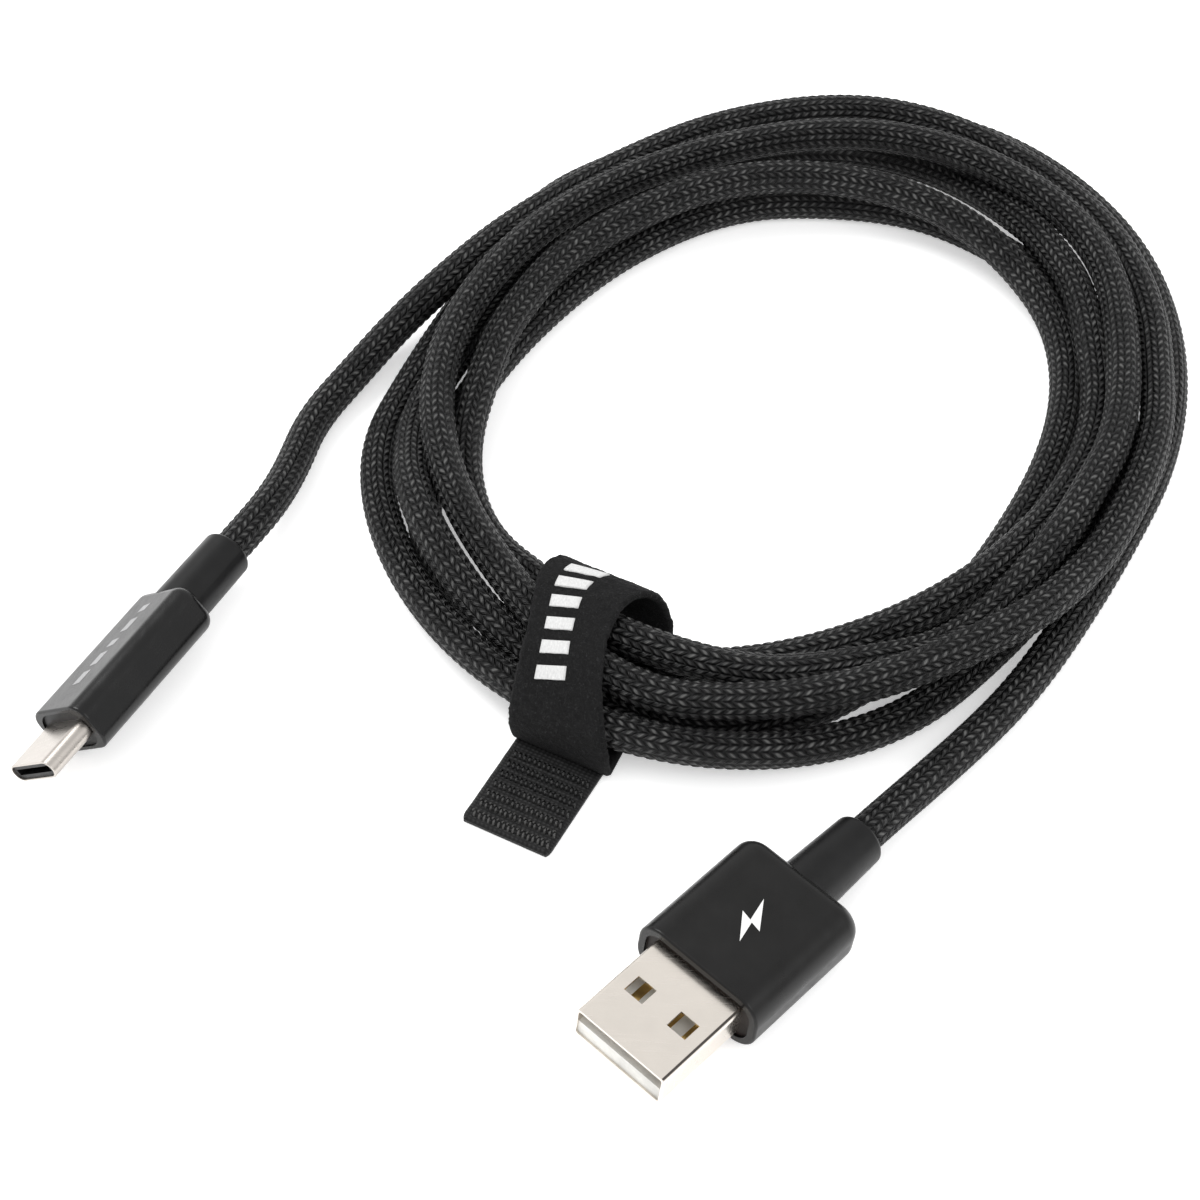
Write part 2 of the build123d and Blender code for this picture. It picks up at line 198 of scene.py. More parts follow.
# --------------------------------------------------------------- materials
def plastic(name, base, rough, grain=9000.0, bump=0.10, spec=0.5, coat=0.0, vary=0.25, wear=0.0):
    """Moulded plastic or rubber: fine spark-erosion grain, cloudy gloss, faint rubs."""
    t = Tree(name)
    o = t.coord.outputs["Object"]
    cloud = t.noise(o, 260.0, 4.0)
    fine = t.noise(o, grain, 2.0)
    rub = t.noise(t.mapping(o, (1400.0, 260.0, 1400.0), (0.2, 0.4, 0.75)), 1.0, 3.0)
    dark = tuple(c * (1 - vary) for c in base)
    lite = tuple(min(1.0, c * (1 + vary) + wear) for c in base)
    col = t.mix(t.range(cloud, 0.3, 0.7, 0, 1), dark, lite)
    r = t.math("ADD", t.range(cloud, 0.3, 0.7, rough - 0.05, rough + 0.05), t.range(rub, 0.45, 0.8, 0.0, 0.08))
    nrm = t.bump(fine, bump, 0.00003)
    return t.set(base=col, rough=r, normal=nrm, spec=spec, coat=coat)


def metal(name, base, rough, brush=(0.75, 0.0), scratch=0.04, wear=0.05):
    """Plated sheet: fine drawing lines, soft clouding, small scuffs."""
    t = Tree(name)
    o = t.coord.outputs["Object"]
    line = t.noise(t.mapping(o, (200.0, 5000.0, 900.0), (0.0, 0.0, brush[0])), 1.0, 2.0)
    cloud = t.noise(o, 180.0, 3.0)
    scuff = t.noise(t.mapping(o, (2500.0, 700.0, 900.0), (0.3, 0.1, 1.1)), 1.0, 5.0, 0.7, 1.5)
    col = t.mix(t.range(cloud, 0.3, 0.7, 0, 1), tuple(c * 0.93 for c in base), base)
    col = t.mix(t.range(scuff, 0.66, 0.78, 0, 0.5), col, tuple(c * 0.78 for c in base))
    r = t.math("ADD", t.range(line, 0.3, 0.7, rough - 0.04, rough + scratch), t.range(scuff, 0.62, 0.8, 0.0, wear))
    nrm = t.bump(line, 0.02, 0.00001)
    return t.set(base=col, rough=r, metallic=1.0, normal=nrm)


M_SHELL = metal("nickel_shell", (0.80, 0.745, 0.68), 0.24)
M_SHELL_C = metal("nickel_shell_c", (0.50, 0.465, 0.43), 0.30, (2.6, 0.0))
M_FERRULE = metal("ferrule", (0.72, 0.71, 0.69), 0.3)
M_GOLD = metal("gold_contacts", (0.83, 0.58, 0.22), 0.22)
M_HOUSE = plastic("housing_satin", (0.0048, 0.0046, 0.0045), 0.30, spec=0.27)
M_HOUSE_C = plastic("housing_satin_c", (0.003, 0.003, 0.0031), 0.24, spec=0.33)
M_BOOT = plastic("boot_rubber", (0.0045, 0.0045, 0.0047), 0.36, grain=7000.0, bump=0.10, spec=0.25)
# the front insert's warm brown tint is a painted reflection of the nickel shell on its dark face
M_INSERT = plastic("front_insert", (0.010, 0.006, 0.0045), 0.5, bump=0.1, spec=0.2)
M_INS_A = plastic("pale_insulator", (0.66, 0.65, 0.615), 0.42, spec=0.4)
M_INS_C = plastic("dark_insulator", (0.006, 0.006, 0.0065), 0.4, spec=0.25)
M_MOULD = plastic("inner_mould", (0.55, 0.53, 0.48), 0.5)
M_CARD = plastic("circuit_card", (0.02, 0.16, 0.07), 0.35, coat=0.3)
M_RES = plastic("resistor_body", (0.03, 0.03, 0.032), 0.4)
M_RED = plastic("wire_red", (0.55, 0.02, 0.02), 0.4)
M_WHITE = plastic("wire_white", (0.75, 0.75, 0.73), 0.4)
M_GREEN = plastic("wire_green", (0.03, 0.35, 0.08), 0.4)
M_BLACK = plastic("wire_black", (0.02, 0.02, 0.02), 0.4)

PITCH = 0.00125          # one row of stitches along the braid
COLS = 8                 # V columns round the cord
SLANT = 1.25             # how far a stitch leans across its column


def braid_material():
    """Two-over-two braid: rows of slanting stitches in V columns. UV u is the distance along the cord in
    metres times 100, v runs 0 to 1 round it."""
    t = Tree("braided_jacket")
    u, v, _ = t.separate(t.coord.outputs["UV"])
    s = t.math("DIVIDE", u, PITCH * 100)
    c = t.math("MULTIPLY", v, COLS)
    x = t.math("FRACT", c)
    tri = t.math("MULTIPLY", t.math("SUBTRACT", 0.5, t.math("ABSOLUTE", t.math("SUBTRACT", x, 0.5))), SLANT)
    phase = t.math("ADD", s, tri)
    f = t.math("FRACT", phase)
    w = t.math("FRACT", t.math("MULTIPLY", c, 2.0))
    a = t.math("SUBTRACT", t.math("MULTIPLY", f, 2.0), 1.0)
    hf = t.math("SUBTRACT", 1.0, t.math("POWER", t.math("ABSOLUTE", a), 2.4), clamp=True)
    b = t.math("SUBTRACT", t.math("MULTIPLY", w, 2.0), 1.0)
    hw = t.math("SUBTRACT", 1.0, t.math("POWER", t.math("ABSOLUTE", b), 3.0), clamp=True)
    # each bundle is four yarns side by side
    yarn = t.math("ABSOLUTE", t.math("SINE", t.math("MULTIPLY", f, math.pi * 4)))
    stitch = t.white(t.combine(t.math("FLOOR", phase), t.math("FLOOR", t.math("MULTIPLY", c, 2.0)), 3.0))
    fibre = t.noise(t.combine(t.math("MULTIPLY", phase, 9.0), t.math("MULTIPLY", c, 1.6), stitch), 1.0, 3.0)
    h = t.math("MULTIPLY", t.math("MULTIPLY", hf, hw), t.math("ADD", 0.72, t.math("MULTIPLY", yarn, 0.28)))
    h = t.math("ADD", h, t.math("MULTIPLY", fibre, 0.12))
    # painted glint and painted shade: each stitch's colour runs from near black in the gaps to pale grey at its crown,
    # its brightness varying from stitch to stitch, with painted sheen patches along the cord
    crown_glint = t.math("SUBTRACT", 1.0, t.math("POWER", t.math("ABSOLUTE", a), 1.15), clamp=True)
    dark = t.math("MULTIPLY", t.math("MULTIPLY", crown_glint, hw), t.range(stitch, 0, 1, 0.66, 1.0))
    sheen = t.noise(t.combine(t.math("MULTIPLY", u, 1.1), t.math("MULTIPLY", v, 5.0), 4.0), 1.0, 3.0)
    dark = t.math("MULTIPLY", dark, t.range(sheen, 0.32, 0.62, 0.80, 1.04))
    col = t.ramp(dark, [(0.0, (0.0003, 0.0003, 0.0004)), (0.30, (0.0014, 0.0014, 0.0016)), (0.52, (0.018, 0.018, 0.0185)), (0.90, (0.125, 0.125, 0.122))])
    col = t.mix(t.range(fibre, 0.50, 0.75, 0.0, 0.45), col, (0.002, 0.002, 0.002))
    r = t.math("ADD", t.range(stitch, 0, 1, 0.30, 0.44), t.math("MULTIPLY", fibre, 0.10))
    n = t.bump(h, 1.0, 0.00036)
    return t.set(base=col, rough=r, normal=n, spec=0.26)


M_BRAID = braid_material()

# -------------------------------------------------------------------- cord
# control points of the cord's line: the lead from the small plug, the turns
# of the coil, the lead to the large plug
CORD_ROUTE = [
    (-0.02692, 0.03560, 0.00490), (-0.02444, 0.03994, 0.00484), (-0.02206, 0.04525, 0.00409), (-0.02037, 0.05185, 0.00267),
    (-0.01849, 0.06079, 0.00212), (-0.01343, 0.06937, 0.00234), (-0.00808, 0.07660, 0.00404), (-0.00158, 0.08311, 0.00640),
    (0.00629, 0.09271, 0.00645), (0.01830, 0.10330, 0.00637), (0.03394, 0.11323, 0.00655), (0.05204, 0.11717, 0.00645),
    (0.06644, 0.11275, 0.00624), (0.07928, 0.10148, 0.00577), (0.08589, 0.08892, 0.00619), (0.08845, 0.07615, 0.00605),
    (0.08765, 0.06478, 0.00591), (0.08629, 0.05476, 0.00636), (0.08238, 0.04462, 0.00643), (0.07624, 0.03320, 0.00646),
    (0.06505, 0.02109, 0.00832), (0.04089, 0.01016, 0.00798), (0.01574, 0.01263, 0.00749), (-0.00737, 0.05622, 0.00827),
    (0.00968, 0.09626, 0.00796), (0.05390, 0.11410, 0.00809), (0.08382, 0.09241, 0.00806), (0.08344, 0.05704, 0.00804),
    (0.07379, 0.03857, 0.00814), (0.06703, 0.02958, 0.00704), (0.06153, 0.02400, 0.00566), (0.05573, 0.02043, 0.00537),
    (0.04964, 0.01825, 0.00626), (0.04294, 0.01639, 0.00698), (0.03711, 0.01570, 0.00708), (0.03114, 0.01626, 0.00771),
    (0.02487, 0.01830, 0.00802), (0.01870, 0.02178, 0.00762), (0.01355, 0.02680, 0.00647), (0.00963, 0.03224, 0.00498),
    (0.00618, 0.03644, 0.00393), (0.00360, 0.04074, 0.00352), (0.00182, 0.04546, 0.00360), (0.00097, 0.05072, 0.00415),
    (0.00121, 0.05676, 0.00511), (0.00293, 0.06407, 0.00616), (0.00569, 0.07446, 0.00658), (0.01465, 0.08926, 0.00700),
    (0.03872, 0.10280, 0.00834), (0.06717, 0.09675, 0.00612), (0.08137, 0.06771, 0.00234), (0.05865, 0.02454, 0.00214),
    (0.03076, 0.00746, 0.00214), (0.00804, 0.01993, 0.00478), (-0.00474, 0.03933, 0.00881), (-0.00592, 0.05796, 0.00449),
    (-0.00021, 0.07184, 0.00366), (0.00596, 0.08552, 0.00400), (0.01222, 0.09657, 0.00223), (0.01891, 0.10320, 0.00217),
    (0.02693, 0.10709, 0.00226), (0.03392, 0.11034, 0.00228), (0.04106, 0.11235, 0.00220), (0.04769, 0.11291, 0.00221),
    (0.05385, 0.11211, 0.00245), (0.05918, 0.11026, 0.00251), (0.06397, 0.10736, 0.00291), (0.06824, 0.10329, 0.00344),
    (0.07222, 0.09772, 0.00447), (0.07620, 0.08983, 0.00637), (0.08036, 0.07761, 0.00653), (0.07986, 0.05248, 0.00389),
    (0.05959, 0.02588, 0.00695), (0.03088, 0.01672, 0.00423), (0.00306, 0.02651, 0.00217), (-0.00603, 0.04596, 0.00220),
    (0.00295, 0.06970, 0.00217), (0.01534, 0.08698, 0.00230), (0.02732, 0.09707, 0.00219), (0.03764, 0.10153, 0.00224),
    (0.04695, 0.10208, 0.00218), (0.05641, 0.10083, 0.00228), (0.06344, 0.09818, 0.00224), (0.07046, 0.09303, 0.00218),
    (0.07686, 0.08631, 0.00220), (0.08122, 0.07746, 0.00219), (0.08331, 0.06744, 0.00223), (0.08300, 0.05697, 0.00217),
    (0.07831, 0.04492, 0.00238), (0.06850, 0.02811, 0.00214), (0.04920, 0.00889, 0.00227), (0.02192, 0.00579, 0.00538),
    (-0.00133, 0.02347, 0.00385), (-0.01189, 0.05127, 0.00259), (-0.00458, 0.07219, 0.00214), (0.00422, 0.09084, 0.00222),
    (0.01036, 0.10228, 0.00220), (0.01926, 0.10888, 0.00220), (0.03050, 0.11414, 0.00231), (0.04328, 0.11787, 0.00220),
    (0.05682, 0.11904, 0.00220), (0.06986, 0.11574, 0.00241), (0.08129, 0.10598, 0.00219), (0.08917, 0.09141, 0.00223),
    (0.09140, 0.07389, 0.00230), (0.08807, 0.05522, 0.00219), (0.07944, 0.03825, 0.00221), (0.07116, 0.02442, 0.00220),
    (0.06556, 0.01645, 0.00223), (0.06031, 0.01046, 0.00223), (0.05436, 0.00423, 0.00250), (0.04862, -0.00188, 0.00330),
    (0.04565, -0.00511, 0.00358),
]
CORD_D = 0.0044


def route_curve(name, points):
    cu = bpy.data.curves.new(name, "CURVE")
    cu.dimensions = "3D"
    sp = cu.splines.new("NURBS")
    sp.points.add(len(points) - 1)
    for p, co in zip(sp.points, points):
        p.co = (*co, 1.0)
    sp.order_u = 3
    sp.use_endpoint_u = True
    sp.resolution_u = 20
    cu.resolution_u = 20
    return cu


def line_points(name, points):
    """The points of a bevel-less NURBS curve, as Blender evaluates it."""
    cu = route_curve(name, points)
    ob = bpy.data.objects.new(name, cu)
    scene.collection.objects.link(ob)
    bpy.context.view_layer.update()
    ev = ob.evaluated_get(bpy.context.evaluated_depsgraph_get())
    me = bpy.data.meshes.new_from_object(ev)
    co = np.empty(len(me.vertices) * 3)
    me.vertices.foreach_get("co", co)
    bpy.data.objects.remove(ob)
    bpy.data.curves.remove(cu)
    bpy.data.meshes.remove(me)
    return co.reshape(-1, 3)


def even(line, step):
    arc = np.concatenate([[0], np.cumsum(np.linalg.norm(np.diff(line, axis=0), axis=1))])
    n = max(8, int(round(arc[-1] / step)))
    s = np.linspace(0, arc[-1], n + 1)
    pts = np.stack([np.interp(s, arc, line[:, k]) for k in range(3)], -1)
    for _ in range(3):      # the line comes as short chords: ease their corners
        pts[1:-1] = 0.25 * pts[:-2] + 0.5 * pts[1:-1] + 0.25 * pts[2:]
    return pts, s, arc[-1]


def frames(pts):
    t = np.gradient(pts, axis=0)
    t /= np.linalg.norm(t, axis=1)[:, None]
    n = np.zeros_like(t)
    n[0] = np.cross(t[0], (0, 0, 1.0))
    n[0] /= np.linalg.norm(n[0])
    for i in range(1, len(t)):
        a = n[i - 1] - t[i] * np.dot(n[i - 1], t[i])
        n[i] = a / np.linalg.norm(a)
    return t, n, np.cross(t, n)


line = line_points("cord_line", CORD_ROUTE)
RING = 32
step = PITCH / 4
pts, s_along, CORD_LEN = even(line, step)
tan, nor, bin_ = frames(pts)
k = np.arange(RING) / RING
S, V = np.meshgrid(s_along, k, indexing="ij")
c = V * COLS
x = c % 1.0
phase = S / PITCH + SLANT * (0.5 - np.abs(x - 0.5))
f = phase % 1.0
w = (2 * c) % 1.0
relief = np.clip(1 - np.abs(2 * f - 1) ** 2.4, 0, 1) * np.clip(1 - np.abs(2 * w - 1) ** 3, 0, 1)
rng = np.random.default_rng(7)
radius = CORD_D / 2 - 0.00013 + 0.00015 * relief
lay = rng.normal(0, 1, (len(pts), 1))
lay = np.convolve(lay[:, 0], np.ones(40) / 40, "same")[:, None]
radius = radius * (1 + 0.006 * lay)
ang = 2 * np.pi * V
P = pts[:, None, :] + radius[..., None] * (np.cos(ang)[..., None] * nor[:, None, :] + np.sin(ang)[..., None] * bin_[:, None, :])
n_r = len(pts)
verts = P.reshape(-1, 3)
i = np.arange(n_r - 1)[:, None]
j = np.arange(RING)[None, :]
j2 = (j + 1) % RING
quads = np.stack([i * RING + j, i * RING + j2, (i + 1) * RING + j2, (i + 1) * RING + j], -1).reshape(-1, 4)
u0, u1 = s_along[:-1][:, None] * 100 + 0 * j, s_along[1:][:, None] * 100 + 0 * j
v0, v1 = (j / RING) + 0 * i, ((j + 1) / RING) + 0 * i
uv = np.stack([np.stack([u0, v0], -1), np.stack([u0, v1], -1), np.stack([u1, v1], -1), np.stack([u1, v0], -1)], 2).reshape(-1, 2)
caps = [list(range(RING))[::-1], [int((n_r - 1) * RING + q) for q in range(RING)]]
cap_uv = [(s_along[0] * 100, q / RING) for q in reversed(range(RING))] + [(s_along[-1] * 100, q / RING) for q in range(RING)]
cord = obj_from("braided_cord", verts, quads.tolist() + caps, M_BRAID, True, np.vstack([uv, cap_uv]))
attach(cord, "root")
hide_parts("cable_coil", "usb_a_lead", "usb_c_lead")
print("cord length", round(CORD_LEN, 4), "rings", n_r)

# -------------------------------------------------------- CAD node finishes
FINISH = {
    "usb_a_shell": M_SHELL, "usb_a_insulator": M_INS_A, "usb_a_contacts": M_GOLD, "usb_a_housing": M_HOUSE,
    "usb_a_front_insert": M_INSERT, "usb_a_inner_mould": M_MOULD, "usb_a_strain_relief": M_BOOT,
    "usb_a_crimp_ferrule": M_FERRULE, "usb_a_cable_end": M_BLACK, "usb_a_wire_power": M_RED,
    "usb_a_wire_data_minus": M_WHITE, "usb_a_wire_data_plus": M_GREEN, "usb_a_wire_ground": M_BLACK,
    "usb_c_shell": M_SHELL_C, "usb_c_insulator": M_INS_C, "usb_c_contacts_upper": M_GOLD,
    "usb_c_contacts_lower": M_GOLD, "usb_c_latch_spring": M_FERRULE, "usb_c_paddle_card": M_CARD,
    "usb_c_resistor": M_RES, "usb_c_housing": M_HOUSE_C, "usb_c_front_insert": M_INS_C,
    "usb_c_inner_mould": M_MOULD, "usb_c_strain_relief": M_BOOT, "usb_c_crimp_ferrule": M_FERRULE,
    "usb_c_cable_end": M_BLACK, "usb_c_wire_power": M_RED, "usb_c_wire_data_minus": M_WHITE,
    "usb_c_wire_data_plus": M_GREEN, "usb_c_wire_ground": M_BLACK,
}
for name, mat in FINISH.items():
    ob = NODES[name]
    if not ob.material_slots:
        ob.data.materials.append(mat)
    for sl in ob.material_slots:
        sl.material = mat


# ------------------------------------------------------------- plug frames
def plug_frame(front, yaw, pitch, roll):
    ya, pi, ro = (math.radians(v) for v in (yaw, pitch, roll))
    t = np.array([math.cos(ya) * math.cos(pi), math.sin(ya) * math.cos(pi), math.sin(pi)])
    s0 = np.array([-math.sin(ya), math.cos(ya), 0.0])
    u0 = np.cross(t, s0)
    s = s0 * math.cos(ro) + u0 * math.sin(ro)
    u = -s0 * math.sin(ro) + u0 * math.cos(ro)
    o = np.array([front[0] + 17.664, front[1] + 32.876, front[2]]) / 1000
    return o, t, s, u


A = plug_frame((9.95, -57.60, 5.34), 227.4, 3.7, -3.9)
C = plug_frame((-59.64, -23.57, 4.90), 240.2, 0.0, 39.0)


def at(fr, p):
    o, t, s, u = fr
    p = np.asarray(p, float) / 1000
    return o + p[..., 0:1] * t + p[..., 1:2] * s + p[..., 2:3] * u


def ink(name, base, rough=0.5):
    t = Tree(name)
    o = t.coord.outputs["Object"]
    sp = t.noise(o, 5200.0, 3.0)
    col = t.mix(t.range(sp, 0.35, 0.65, 0, 1), tuple(q * 0.90 for q in base), base)
    return t.set(base=col, rough=t.range(sp, 0.3, 0.7, rough - 0.06, rough + 0.08), normal=t.bump(sp, 0.1, 0.00002))


M_INK = ink("white_ink", (0.78, 0.78, 0.77))
M_GREY = ink("grey_ink", (0.34, 0.34, 0.345))


def plate(name, fr, outline, z0, z1, mat, body):
    """A thin printed or raised mark: outline in the plug's X and Y, from z0 to z1."""
    n = len(outline)
    a = at(fr, np.array([(x, y, z0) for x, y in outline]))
    b = at(fr, np.array([(x, y, z1) for x, y in outline]))
    faces = [list(range(n, 2 * n)), list(range(n))[::-1]] + [[q, (q + 1) % n, n + (q + 1) % n, n + q] for q in range(n)]
    o = obj_from(name, np.vstack([a, b]), faces, mat, smooth=False)
    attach(o, body)
    return o


# lightning bolt on the wide face of the large plug, a generic charging sign
BOLT = [(-5.3, 0.85), (-8.45, -1.45), (-8.15, -0.12), (-11.2, -0.85), (-7.75, 1.5), (-8.0, 0.2)]
plate("charge_sign", A, BOLT, 3.89, 3.915, M_INK, "usb_a_plug")

# painted dark reflection: a thin dark strip along the folded edge of the large plug's shell, on its wide face
M_EDGE_REFLECTION = ink("shell_edge_reflection", (0.035, 0.028, 0.022), 0.4)
plate("shell_edge_reflection", A, [(0.1, 5.58), (11.9, 5.58), (11.9, 5.86), (0.1, 5.86)], 2.24, 2.262, M_EDGE_REFLECTION, "usb_a_plug")

# ------------------------------------------------------------------- strap
SD = math.radians(62.0)
R_DIR = np.array([math.cos(SD), math.sin(SD), 0.0])
N_DIR = np.array([math.sin(SD), -math.cos(SD), 0.0])
SO = np.array([0.6 + 17.664, -15.4 + 32.876, 0.0]) / 1000
H = 10.25
# the loop's outer face: r, z, sideways lean and half width at each point
LOOP = [(-9.05, 0, -0.3, 6.0), (7.05, 0, -1.5, 5.8), (10.5, 1.7, -2.2, 5.8), (11.7, 5.4, -3.2, 6.1), (10.8, 9.6, -5.2, 6.3),
        (6.2, 11.2, -6.5, 5.6), (0.0, 10.8, -4.9, 4.8), (-5.25, 9.95, -2.9, 5.2), (-8.7, 7.8, -1.6, 5.8),
        (-10.4, 4.6, -0.8, 6.4), (-10.5, 1.0, -0.4, 6.4)]


def closed_spline(pts, per=12):
    p = np.asarray(pts, float)
    n = len(p)
    out = []
    for q in range(n):
        a, b, d = p[q - 1], p[q], p[(q + 1) % n]
        m0, m1 = (a + b) / 2, (b + d) / 2
        for v in np.linspace(0, 1, per, endpoint=False):
            out.append((1 - v) ** 2 * m0 + 2 * v * (1 - v) * b + v * v * m1)
    return np.array(out)


def fabric(name, base, tip, lint=0.0, bump=0.5):
    """Brushed loop fabric: fine combed streaks, small tufts."""
    t = Tree(name)
    u, v, _ = t.separate(t.coord.outputs["UV"])
    p = t.combine(t.math("MULTIPLY", u, 0.9), t.math("MULTIPLY", v, 4.2), 0.0)
    comb = t.noise(p, 2.4, 4.0, 0.65, 0.8)
    tuft = t.noise(t.combine(u, v, 0.0), 3.1, 3.0, 0.6)
    mixv = t.math("ADD", t.math("MULTIPLY", comb, 0.65), t.math("MULTIPLY", tuft, 0.35))
    col = t.ramp(mixv, [(0.30, base), (0.54, tuple((a + b) / 2 for a, b in zip(base, tip))), (0.72, tip)])
    speck = t.noise(t.combine(u, v, 7.0), 3.6, 5.0, 0.75, 1.2)
    col = t.mix(t.range(speck, 0.55, 0.68, 0.0, lint), col, tuple(min(1.0, 3.2 * q) for q in tip))
    return t.set(base=col, rough=t.range(mixv, 0.3, 0.7, 0.72, 0.9), normal=t.bump(t.math("ADD", mixv, t.math("MULTIPLY", speck, 0.8)), bump, 0.0004),
                 sheen=0.03, sheen_rough=0.5, spec=0.12)


M_LOOP = fabric("strap_loop_fabric", (0.0012, 0.0012, 0.0014), (0.017, 0.017, 0.0175), lint=0.75, bump=0.9)
M_PRINT = fabric("strap_print", (0.50, 0.50, 0.50), (0.80, 0.80, 0.79), bump=0.35)


def to_world(r, n, z):
    return SO + (np.asarray(r)[..., None] * R_DIR + np.asarray(n)[..., None] * N_DIR) / 1000 + np.asarray(z)[..., None] / 1000 * np.array([0, 0, 1.0])


STRAP_W = 11.4
prof4 = closed_spline(LOOP, 20)
prof, lean, halfw = prof4[:, :2], prof4[:, 2], prof4[:, 3]
pn = len(prof)
d = np.roll(prof, -1, 0) - np.roll(prof, 1, 0)
d /= np.linalg.norm(d, axis=1)[:, None]
inward = np.stack([-d[:, 1], d[:, 0]], -1)
arc = np.concatenate([[0], np.cumsum(np.linalg.norm(np.diff(prof, axis=0), axis=1))])
peri = arc[-1] + np.linalg.norm(prof[0] - prof[-1])
NW = 38
wid = np.linspace(-1, 1, NW)


def smooth_noise(rng, shape, k):
    a = rng.normal(0, 1, shape)
    for ax in range(len(shape)):
        ker = np.ones(k) / k
        a = np.apply_along_axis(lambda q: np.convolve(np.concatenate([q[-k:], q, q[:k]]), ker, "same")[k:-k], ax, a)
    return a / (a.std() + 1e-9)


rng = np.random.default_rng(11)
pile = smooth_noise(rng, (pn, NW), 3)
edge = smooth_noise(rng, (pn, 2), 2)
top = np.clip((prof[:, 1] - 1.2) / 2.5, 0, 1)
T_BAND = 0.95
ring_v, ring_f, ring_uv = [], [], []
# section of the band: outer face, round edge, inner face, round edge
sect = []
for q, wv in enumerate(wid):
    e = abs(wv)
    sect.append((wv, 0.32 * max(0.0, (e - 0.93) / 0.07) ** 2))
sec_outer = [(wv, dz) for wv, dz in sect]
sec_inner = [(wv, T_BAND - dz) for wv, dz in reversed(sect)]
section = sec_outer + sec_inner
ns = len(section)
for a in range(pn):
    for b, (wv, depth) in enumerate(section):
        col = b if b < NW else 2 * NW - 1 - b
        side = 1.0 if b < NW else 0.4
        dd = depth - 0.045 * pile[a, col] * top[a] * side
        e = abs(wv)
        wv2 = lean[a] + wv * halfw[a] + 0.05 * edge[a, 0 if wv < 0 else 1] * (e > 0.96) * top[a]
        r, z = prof[a] + inward[a] * dd
        ring_v.append(to_world(r, wv2, max(z, 0.0)))
quv = []
for a in range(pn):
    a2 = (a + 1) % pn
    for b in range(ns):
        b2 = (b + 1) % ns
        ring_f.append([a * ns + b, a2 * ns + b, a2 * ns + b2, a * ns + b2])
        ua, ub = arc[a], (arc[a2] if a2 else peri)
        va, vb = section[b][0] * 5.7, section[b2][0] * 5.7
        if b >= NW - 1:
            va, vb = va + 20, vb + 20
        quv += [(ua, va), (ub, va), (ub, vb), (ua, vb)]
band = obj_from("strap_loop_band", ring_v, ring_f, M_LOOP, True, quv)
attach(band, "root")
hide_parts("strap_band")


def on_band(s, v, lift):
    """A point on the band's outer face: s mm along it, v from -1 to 1 across it."""
    s = np.asarray(s, float) % peri
    aa = np.append(arc, peri)
    pr = np.vstack([prof4, prof4[:1]])
    iw = np.vstack([inward, inward[:1]])
    r = np.interp(s, aa, pr[:, 0]) - np.interp(s, aa, iw[:, 0]) * lift
    z = np.interp(s, aa, pr[:, 1]) - np.interp(s, aa, iw[:, 1]) * lift
    n = np.interp(s, aa, pr[:, 2]) + np.asarray(v) * np.interp(s, aa, pr[:, 3])
    return to_world(r, n, z)


def patch(name, corners, lift=0.16, n=9):
    """A small woven bar on the band: four corners in (s, v), row by row."""
    c0, c1, c2, c3 = (np.array(q, float) for q in corners)
    uu, vv = np.meshgrid(np.linspace(0, 1, n * 2), np.linspace(0, 1, n), indexing="ij")
    p = (1 - uu)[..., None] * ((1 - vv)[..., None] * c0 + vv[..., None] * c3) + uu[..., None] * ((1 - vv)[..., None] * c1 + vv[..., None] * c2)
    nu, nv = p.shape[:2]
    up = on_band(p[..., 0], p[..., 1], lift).reshape(-1, 3)
    dn = on_band(p[..., 0], p[..., 1], -0.25).reshape(-1, 3)
    fs, uvs = [], []
    q2 = p.reshape(-1, 2) * np.array([1.0, 5.7])
    for a in range(nu - 1):
        for b in range(nv - 1):
            f4 = [a * nv + b, (a + 1) * nv + b, (a + 1) * nv + b + 1, a * nv + b + 1]
            fs.append(f4)
            uvs += [tuple(q2[v]) for v in f4]
    m = nu * nv
    rim = [a * nv for a in range(nu)] + [(nu - 1) * nv + b for b in range(1, nv)] + [a * nv + nv - 1 for a in range(nu - 2, -1, -1)] + [b for b in range(nv - 2, 0, -1)]
    for a, b in zip(rim, rim[1:] + rim[:1]):
        fs.append([a, a + m, b + m, b])
        uvs += [tuple(q2[a])] * 2 + [tuple(q2[b])] * 2
    o = obj_from(name, np.vstack([up, dn]), fs, M_PRINT, True, uvs)
    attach(o, "root")
    return o

BARS = [[(s + 0.95, -0.55), (s - 0.60, -0.55), (s - 1.75, 0.13), (s - 0.20, 0.13)] for s in (45.6, 42.6, 39.6, 36.6, 33.7, 30.9)]

# generic slanted bars on the band, and five grey ticks on the small plug
for q, cs in enumerate(BARS):
    patch("strap_bar_%d" % q, cs)
TICKS = [(-4.2, 2.2), (-7.4, 2.2), (-10.6, 1.2), (-13.2, 2.2), (-16.6, 1.2)]
for q, (x0, ln) in enumerate(TICKS):
    plate("grey_mark_%d" % q, C, [(x0, -0.55), (x0 - ln, -0.55), (x0 - ln - 0.35, 0.55), (x0 - 0.35, 0.55)], 3.13, 3.165, M_GREY, "usb_c_plug")

# ---------------------------------------------------------------- free end
TX0, TL, TT, HT = -H - 0.25, 12.6, 0.9, 0.55


